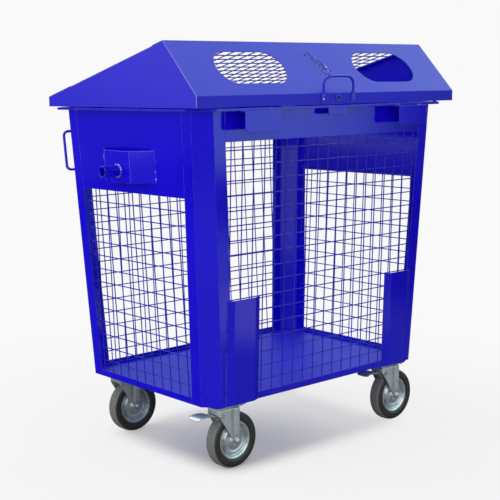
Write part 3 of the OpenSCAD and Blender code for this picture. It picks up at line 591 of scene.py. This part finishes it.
def fork_piece(corner, origin):
    """A folded sheet: two cheeks with a rounded back, bent over into a crown at the top."""
    round_r, bend_r, sheet_t = 0.011, 0.008, 0.004
    side_steps, round_steps, up_steps, bend_steps = 64, 7, 26, 6
    back_ys = (-cheek_y + round_r, -0.010, 0.0, 0.010)
    crown_back, crown_shares = -0.022, (0.3, 0.65, 1.0)
    # The wall as seen from above, with the way that each point faces
    run = cheek_back + round_r - cheek_front
    side = [(cheek_front + run * i / side_steps, -cheek_y, 0, -1) for i in range(side_steps)]
    rounding = [(cheek_back + round_r * (1 - math.cos(a)), -cheek_y + round_r * (1 - math.sin(a)),
                 -math.cos(a), -math.sin(a))
                for a in (math.pi / 2 * (1 - i / round_steps) for i in range(round_steps))]
    path = side + rounding
    across = [(cheek_back, y, -1, 0) for y in back_ys]
    wall = path + across + [(x, -y, nx, -ny) for x, y, nx, ny in reversed(path)]
    top = crown_top_z - bend_r
    columns = []
    for x, y, nx, ny in wall:
        foot = fork_foot(x)
        column = []
        for i in range(up_steps + 1):
            z = foot + (top - foot) * i / up_steps
            push = fork_press(x, z) if nx == 0 else 0.0
            column.append(Vector((x + nx * push, y + ny * push, z)))
        push = fork_press(x, top) if nx == 0 else 0.0
        for i in range(1, bend_steps + 1):
            a = math.pi / 2 * i / bend_steps
            lean = bend_r * (1 - math.cos(a)) - push * math.cos(a)
            column.append(Vector((x - nx * lean, y - ny * lean, top + bend_r * math.sin(a))))
        edge = column[-1]
        middle = Vector((min(max(x, crown_back), cheek_front), 0, crown_top_z))
        column += [edge.lerp(middle, share) for share in crown_shares]
        columns.append(column)
    shape = Shape()
    shape.skin(columns, round_=False)
    fork = shape.piece(f"pressed_fork_{corner}", "fork_zinc", f"castor_{corner}",
                       [f"fork_{corner}"], origin, "zinc_steel", crease=50)
    thicken(fork, sheet_t, even=True)


def brake_bolt_piece(corner, origin):
    """The brake's bolt through the fork, with a washer and nut on each side and two springs."""
    washer = [(0.0078, 0), (0.0080, 0.0004), (0.0078, 0.0012)]
    rod_y, rod_r, nut_gap = 0.0288, 0.004, 0.0010
    coil_r, coil_y, half_turn_y, wire_r = 0.0066, 0.0185, 0.0017, 0.0011
    shape = Shape()
    for s in (-1, 1):
        shape.turned(washer, facing((pedal_x, s * cheek_y, pedal_z), (0, s, 0)), 32)
        shape.nut(facing((pedal_x, s * (cheek_y + nut_gap), pedal_z), (0, s, 0)),
                  across=0.0135, height=0.0038)
    shape.bead([(pedal_x, -rod_y, pedal_z), (pedal_x, rod_y, pedal_z)], rod_r, sides=24)
    for s in (-1, 1):
        coil = [(pedal_x + coil_r * math.cos(a), s * (coil_y + half_turn_y * a / math.pi),
                 pedal_z + coil_r * math.sin(a)) for a in (math.pi / 8 * i for i in range(72))]
        shape.bead(coil, wire_r, sides=8)
    shape.piece(f"brake_bolt_{corner}", "pin_steel", f"castor_{corner}", (), origin, "zinc_steel")


def axle_piece(corner, origin):
    """The axle's bolt and its sleeve, with a washer, a nut and the bolt's end on each side."""
    washer = [(0.0108, 0), (0.0112, 0.0004), (0.0110, 0.0016)]
    bolt_end = [(0.0060, 0.0060), (0.0060, 0.0082), (0.0052, 0.0090)]
    bolt_r, sleeve_r, sleeve_y, nut_y = 0.006, 0.0099, 0.0286, 0.0342
    shape = Shape()
    for y, radius, sides in ((cheek_y, bolt_r, 32), (sleeve_y, sleeve_r, 40)):
        shape.bead([(trail, -y, axle_z), (trail, y, axle_z)], radius, sides=sides)
    for s in (-1, 1):
        place = facing((trail, s * cheek_y, axle_z), (0, s, 0))
        shape.turned(washer, place, 48)
        shape.nut(facing((trail, s * nut_y, axle_z), (0, s, 0)), across=0.0200, height=0.0056)
        shape.turned(bolt_end, place, 32)
    shape.piece(f"axle_bolt_{corner}", "pin_steel", f"castor_{corner}", [f"axle_{corner}"],
                origin, "zinc_steel")


# Brakes, about the pedal's pin
pedal_line = [
    (-0.1020, 0.0040), (-0.0975, 0.0078), (-0.0920, 0.0110), (-0.0860, 0.0130),
    (-0.0790, 0.0140), (-0.0700, 0.0139), (-0.0600, 0.0133), (-0.0510, 0.0122),
    (-0.0430, 0.0100), (-0.0360, 0.0068), (-0.0290, 0.0038), (-0.0220, 0.0022),
    (-0.0120, 0.0020), (0.0, 0.0020)]
shoe_outline = [(-0.007, -0.002), (0.007, -0.002), (0.004, -0.018), (0.0, -0.0205),
                (-0.006, -0.017)]
bearing = [(0.0041, -0.0170), (0.0070, -0.0170), (0.0075, -0.0165), (0.0075, 0.0165),
           (0.0070, 0.0170), (0.0041, 0.0170)]


def pedal_piece(side, place):
    """The foot pedal: a bent plate with rounded tip corners, turned-down edges and a neck."""
    half_width, neck_narrower, neck_range, tip_r = 0.030, 0.013, (-0.050, -0.030), 0.012
    edge_down, edge_range = 0.0022, (0.020, 0.030)
    tip_down, tip_range = 0.0006, (-0.040, -0.070)
    sheet_t, across_steps = 0.0035, 8
    rows = []
    walked = 0.0
    for (x, z), before in zip(pedal_line, [pedal_line[0]] + pedal_line[:-1]):
        walked += math.dist((x, z), before)
        half = half_width - neck_narrower * smooth(x, *neck_range)
        if walked < tip_r:
            half -= tip_r - math.sqrt(tip_r ** 2 - (tip_r - walked) ** 2)
        rows.append([Vector((x, half * t, z - edge_down * smooth(abs(half * t), *edge_range)
                             - tip_down * smooth(x, *tip_range)))
                     for t in (i / across_steps - 1 for i in range(2 * across_steps + 1))])
    shape = Shape()
    shape.skin(rows, round_=False)
    plate = shape.piece(f"foot_pedal_{side}", "zinc_steel", f"brake_{side}",
                        [f"brake_pedal_{side}"], place, crease=60)
    thicken(plate, sheet_t)
    edge = plate.modifiers.new("edge", "BEVEL")
    edge.width = 0.0008
    edge.segments = 2
    edge.angle_limit = math.radians(50)


def brake_shoe_piece(side, place):
    """The brake's shoe and bearing under the pedal, and the two bolts on its neck."""
    shoe_y, shoe_edge = 0.017, 0.0008
    bolt_x, bolt_y, lean = -0.0275, 0.0095, (0.3, 0, 1)
    washer, washer_z, nut_z = [(0.0052, 0), (0.0052, 0.0008)], 0.0030, 0.0036
    upright = Matrix(((1, 0, 0, 0), (0, 0, 1, 0), (0, 1, 0, 0), (0, 0, 0, 1)))  # XY laid in XZ
    shape = Shape()
    shape.prism(shoe_outline, -shoe_y, shoe_y, upright, shoe_edge)
    shape.turned(bearing, facing((0, 0, 0), (0, -1, 0)), 40, closed=True)
    for s in (-1, 1):
        shape.turned(washer, facing((bolt_x, s * bolt_y, washer_z), lean), 24)
        shape.nut(facing((bolt_x, s * bolt_y, nut_z), lean), across=0.0092, height=0.0034)
    shape.piece(f"brake_shoe_{side}", "pin_steel", f"brake_{side}", (), place, "zinc_steel")


def castor_fixings():
    """The top plates with their ball races and pins, and the nuts under them."""
    plate_x, plate_y, corner_r, plate_edge = 0.0675, 0.055, 0.011, 0.0006
    outline = [(cx * (plate_x - corner_r) + corner_r * math.cos(a),
                cy * (plate_y - corner_r) + corner_r * math.sin(a))
               for cx, cy, first in ((1, 1, 0), (-1, 1, 1), (-1, -1, 2), (1, -1, 3))
               for a in (math.pi / 2 * (first + i / 6) for i in range(7))]
    race = [(0.0340, 0.2247), (0.0358, 0.2252), (0.0366, 0.2264), (0.0366, 0.2282),
            (0.0352, 0.2290), (0.0352, 0.2296), (0.0370, 0.2302), (0.0370, 0.2322),
            (0.0365, 0.2332)]
    pin_nut_z, pin_low_z, pin_r = 0.2116, 0.2115, 0.008
    bolt_x, bolt_y, bolt_r = 0.0525, 0.040, 0.0040
    washer = [(0.0074, 0.2318), (0.0076, 0.2322), (0.0076, 0.2329)]
    bolt_nut_z, bolt_low_z, bolt_top_z = 0.2320, 0.2260, 0.2478
    plates, nuts = Shape(), Shape()
    for sx, sy in corners.values():
        x, y = sx * castor_x, sy * castor_y + box_shift
        level = Matrix.Translation((x, y, 0))
        plates.prism(outline, plate_low_z, plate_top_z, level, plate_edge)
        plates.turned(race, level)
        plates.nut(Matrix.Translation((x, y, pin_nut_z)), across=0.0255, height=0.0086)
        plates.bead([(x, y, pin_low_z), (x, y, plate_low_z)], pin_r, sides=24)
        for bx in (x - bolt_x, x + bolt_x):
            for by in (y - bolt_y, y + bolt_y):
                nuts.turned(washer, Matrix.Translation((bx, by, 0)), 32)
                nuts.nut(facing((bx, by, bolt_nut_z), (0, 0, -1)), across=0.0142, height=0.0052)
                nuts.bead([(bx, by, bolt_low_z), (bx, by, bolt_top_z)], bolt_r, sides=20)
    plates.piece("castor_top_plates", "zinc_steel", "container", ["castor_plates"])
    nuts.piece("castor_nuts", "pin_steel", "container", ["castor_bolts"], slot="zinc_steel")


# The container's walls lean out from its floor to its rim
wall_low_z, wall_height = 0.248, 0.995
end_low, end_lean = 0.528, 0.054
long_low, long_lean = 0.366, 0.040


def end_x(z):
    return end_low + end_lean * (z - wall_low_z) / wall_height


def long_y(z):
    return long_low + long_lean * (z - wall_low_z) / wall_height


def welds():
    """Weld beads round the trunnions, and short ones on the trunnion brackets, the rear
    handles, the comb plates and the hinges."""
    roots, stitches = Shape(), Shape()
    trunnion_z, trunnion_r, bracket_face = 1.035, 0.0212, 0.0506
    bracket_y, bracket_gap, bracket_stitch = 0.1495, 0.0004, 0.020
    bracket_lows = {-1: (0.998, 1.028), 1: (1.062,)}  # on its front and on its rear edge
    handle_zs, handle_in, handle_r = (1.018, 1.159), 0.0255, 0.0056
    comb_x, comb_end, comb_y, comb_z, comb_half = 0.371, 0.060, -0.4327, 1.2388, 0.012
    hinge_xs, ear_x, hinge_ys, hinge_z = (-0.420, 0, 0.420), 0.0196, (0.4300, 0.4505), 1.2466
    root_bead, bracket_bead, small_bead, hinge_bead = 0.0027, 0.0018, 0.0016, 0.0014
    root_ripple, ripple = 0.22, 0.2
    for s in (-1, 1):
        ring = []
        for a in angles(48):
            z = trunnion_z + trunnion_r * math.sin(a)
            ring.append((s * (end_x(z) + bracket_face), box_shift + trunnion_r * math.cos(a), z))
        roots.bead(ring, root_bead, root_ripple, closed=True)
        for side, lows in bracket_lows.items():
            y = box_shift + side * bracket_y
            for low in lows:
                stitches.bead([(s * (end_x(z) + bracket_gap), y, z)
                               for z in (low, low + bracket_stitch)], bracket_bead, ripple)
        for z in handle_zs:
            centre = Vector((s * (end_x(z) - handle_in), long_y(z) - handle_in + box_shift, z))
            wide = Vector((s, -1, 0)).normalized()
            ring = [centre + handle_r * (math.cos(a) * wide + math.sin(a) * Vector((0, 0, 1)))
                    for a in angles(20)]
            stitches.bead(ring, small_bead, ripple, closed=True)
        for end in (-1, 1):
            x = s * comb_x + end * comb_end
            stitches.bead([(x - comb_half, comb_y, comb_z), (x + comb_half, comb_y, comb_z)],
                          small_bead, ripple)
    for hinge in hinge_xs:
        for s in (-1, 1):
            x = hinge + s * ear_x
            stitches.bead([(x, y, hinge_z) for y in hinge_ys], hinge_bead, ripple)
    roots.piece("trunnion_welds", "weld_paint", "container", slot="blue_paint")
    stitches.piece("stitch_welds", "weld_paint", "container", slot="blue_paint")


def edge_highlight_strips():
    """Pale beads that paint highlights along edges: the lid's front sheet on the gables, and the
    folds of the trunnion brackets."""
    gables, folds = Shape(), Shape()
    foot_out, foot_y = 0.001, 0.150
    face_out, face_y = 0.050, 0.072
    face_zs, top_fold_z = (1.000, 1.105), 1.1058
    top_fold = ((foot_out, -foot_y), (face_out, -face_y), (face_out, face_y), (foot_out, foot_y))
    gable_x = 0.6264
    gable_line = ((-0.4296, 1.2512), (-0.4296, 1.2878), (-0.2632, 1.4629))
    top_r, face_r, gable_r, gable_ripple = 0.0007, 0.0008, 0.0010, 0.1

    def on_bracket(s, out, y, z):
        return s * (end_x(z) + out), y + box_shift, z - out * end_lean

    for s in (-1, 1):
        folds.bead([on_bracket(s, out, y, top_fold_z) for out, y in top_fold], top_r)
        for y in (-face_y, face_y):
            folds.bead([on_bracket(s, face_out, y, z) for z in face_zs], face_r)
        gables.bead([(s * gable_x, y, z) for y, z in gable_line], gable_r, gable_ripple)
    gables.piece("gable_edge_highlights", "edge_paint", "lid", slot="blue_paint")
    folds.piece("bracket_fold_highlights", "fold_paint", "container", slot="blue_paint")


white = 0.948  # strength of the plain white that the camera sees
floor_half = 6.0
floor_seen, floor_bounce = (0.98, 0.98, 0.91), (0.60, 0.60, 0.60)
# What only mirror rays see of the floor: a lit strip, and pools as (x, y, core, rim)
mirrored_dark, mirrored_lit = (0.07, 0.07, 0.07), (0.72, 0.90, 0.95)
strip_front, strip_end, strip_share = (0.3, 0.8), (1.5, 2.2), 0.3
side_pool, front_pool = (1.9, -3.2, 0.3, 1.1), (1.05, -2.0, 0.3, 0.85)
# What only the camera sees: a painted shadow, as the glow drops inside the container's footprint,
# with its edges on either side and its darkest spot, and the glow as (at that spot, added further
# out, distances between which it is added)
shadow_x, shadow_y = (0.37, 0.52), (0.27, 0.42)
darkest_x, darkest_y = -0.45, -0.30
glow_under, glow_beyond = (0.06, 0.58, 0.14, 1.00), (0.82, 0.18, 0.8, 2.6)


def stage():
    """The floor. For the camera it glows white round the container and fades under it, so that the
    real shadow shows there, with edges and a darkest spot that the glow paints. Mirror rays see it
    dark, with a lit strip in front and two pools of light."""
    half = floor_half
    floor_mesh = bpy.data.meshes.new("floor")
    floor_mesh.from_pydata([(-half, -half, 0), (half, -half, 0), (half, half, 0), (-half, half, 0)],
                           [], [(0, 1, 2, 3)])
    floor = add_object("floor", floor_mesh)
    made, finish, feed = material("pale_floor")
    seen, glossy = finish.ray("Camera"), finish.ray("Glossy")
    x, y = finish.along("X"), finish.along("Y")

    def pool(px, py, core, rim):
        """1 inside a round pool of light on the floor, falling to 0 at its rim."""
        return 1 - length(x - px, y - py).between(core, rim)

    strip = (0 - y).between(*strip_front) * (1 - x.between(*strip_end))
    lit = strip * strip_share + pool(*side_pool)
    mirrored = finish.mix(lit, mirrored_dark, mirrored_lit)
    unseen = finish.mix(glossy, floor_bounce, mirrored)
    feed(Base_Color=finish.mix(seen, unseen, floor_seen), Roughness=0.9, Specular_IOR_Level=0.0)

    # Painted shadow: the glow is lowest inside the container's footprint and near its darkest spot.
    beside = x.maths("ABSOLUTE").between(*shadow_x)
    before = (y - box_shift).maths("ABSOLUTE").between(*shadow_y)
    outside = 1 - (1 - beside) * (1 - before)
    away = length(x - darkest_x, y - darkest_y)
    under, beyond = (least + more * away.between(near, far)
                     for least, more, near, far in (glow_under, glow_beyond))
    glowing = under + outside * (beyond - under)
    share = glowing * seen + glossy * pool(*front_pool)
    glow = finish.node("ShaderNodeEmission", None, (1, 1, 1, 1), white)
    shader = Socket(finish, made.node_tree.nodes["Principled BSDF"].outputs[0])
    mixed = finish.node("ShaderNodeMixShader", None, share, shader, glow)
    finish.feed(made.node_tree.nodes["Material Output"].inputs["Surface"], mixed)
    floor_mesh.materials.append(made)


# The studio round the floor. Ways are flat, and each range is where its part fades in: by the
# height for the ceiling and the daylight, and by how well a ray agrees with the way for the rest.
ceiling_range, right_range, daylight_range = (0.22, 0.58), (0.64, 0.80), (-0.05, 0.30)
front_way, front_range = (0.6, -0.8), (-0.2, 0.4)
panel_way, panel_range = (0.663, -0.749), (0.9895, 0.9978)
aside_way, aside_range = (0.749, 0.663), (0.07, 0.16)
backdrop, ceiling_strength, ceiling_right = 0.12, 1.50, 0.45
front_strength, panel_strength, aside_loss = 0.14, 1.3, 0.22
daylight_low, daylight_more = 0.14, 0.34
mirrored_tint = (0.72, 1.0, 1.06)


def world():
    """A white studio: plain white for the camera, and for mirror rays a bright ceiling over a
    dim horizon, with one soft upright panel at the front right."""
    made = bpy.data.worlds.new("studio")
    bpy.context.scene.world = made
    made.use_nodes = True
    finish = Finish(made.node_tree)
    background = made.node_tree.nodes["Background"]
    seen, glossy, through = (finish.ray(kind) for kind in ("Camera", "Glossy", "Transmission"))
    way = finish.node("ShaderNodeTexCoord")
    x, y, z = (finish.along(axis, way) for axis in "XYZ")

    def towards(way):
        return x * way[0] + y * way[1]

    rise = z.between(*ceiling_range)
    ahead = towards(front_way).between(*front_range)
    level = length(x, y)
    panel = (towards(panel_way) / level).between(*panel_range)
    aside = (towards(aside_way) / level).between(*aside_range)
    ceiling = ceiling_strength + ceiling_right * x.between(*right_range)
    horizon = front_strength + panel_strength * panel - aside_loss * aside
    mirrored = backdrop + rise * ceiling + (1 - rise) * ahead * horizon
    daylight = daylight_low + daylight_more * z.between(*daylight_range)
    plain = (seen + through).maths("MINIMUM", 1.0)
    strength = plain * white + (1 - plain) * (glossy * mirrored + (1 - glossy) * daylight)
    colour = finish.mix(glossy * ahead.maths("MAXIMUM", rise), (1, 1, 1), mirrored_tint)
    finish.feed(background.inputs["Color"], colour)
    finish.feed(background.inputs["Strength"], strength)


# Name, place, the point it faces, size and power in watts
lamps = (
    ("overhead", (0, 0, 4.5), (0, 0, 0), (3.0, 3.0), 15),
    ("left", (-4.4, 0.6, 1.8), (0, 0, 0.8), (3.6, 2.6), 69),
    ("front", (-1.5, -4.6, 1.9), (-0.2, 0, 0.7), (6.0, 3.0), 41),
    ("fill", (-3.2, -3.8, 2.3), (0, 0, 0.8), (2.4, 1.6), 18),
    ("right", (4.6, 0.5, 2.1), (0, 0, 0.7), (3.0, 2.4), 34),
    ("rear_top", (-2.2, 3.0, 3.8), (0.3, 0, 1.2), (2.0, 2.0), 26),
    ("rear_window", (-3.45, 3.2, 2.12), (-0.6, -0.13, 2.12), (1.6, 1.9), 9),
)


def add_lamp(name, place, target, size, power):
    data = bpy.data.lights.new(name, "AREA")
    data.shape = "RECTANGLE"
    data.size, data.size_y = size
    data.energy = power
    body = add_object(name, data)
    way = Vector(target) - Vector(place)
    aimed = way.to_track_quat("-Z", "Y").to_matrix().to_4x4()
    body.matrix_world = Matrix.Translation(place) @ aimed
    body.visible_camera = False


camera()
stage()
world()
for lamp in lamps:
    add_lamp(*lamp)

# The container's own nodes. Those that aren't named here take the finish of their slot.
own_finish = {
    "floor_pan": "pan_paint",
    "keeper_chain": "chain_paint",
    "handle_rivets": "chain_paint",
    "lid_front_sheet": "lid_paint",
    "lid_gable_left": "lid_paint",
    "lid_gable_right": "gable_paint",
    "trunnion_bracket_left": "bracket_paint",
    "trunnion_bracket_right": "bracket_paint",
}
for name, piece in nodes.items():
    dress(piece, own_finish.get(name, slots[name]))
nodes["keeper_chain"].visible_glossy = False  # its mirror image would blot the lid's slope

for corner, (sx, sy) in corners.items():
    pin = (sx * castor_x, sy * castor_y + box_shift, 0)
    wheel_pieces(corner, (pin[0] + trail, pin[1], axle_z))
    fork_piece(corner, pin)
    braked = sy < 0
    if braked:
        brake_bolt_piece(corner, pin)
    axle_piece(corner, pin)
    if braked:
        side = corner.split("_")[1]
        hinge_pin = (pin[0] + pedal_x, pin[1], pedal_z)
        pedal_piece(side, hinge_pin)
        brake_shoe_piece(side, hinge_pin)
castor_fixings()
welds()
edge_highlight_strips()

view = bpy.context.scene.view_settings
view.view_transform = "Standard"
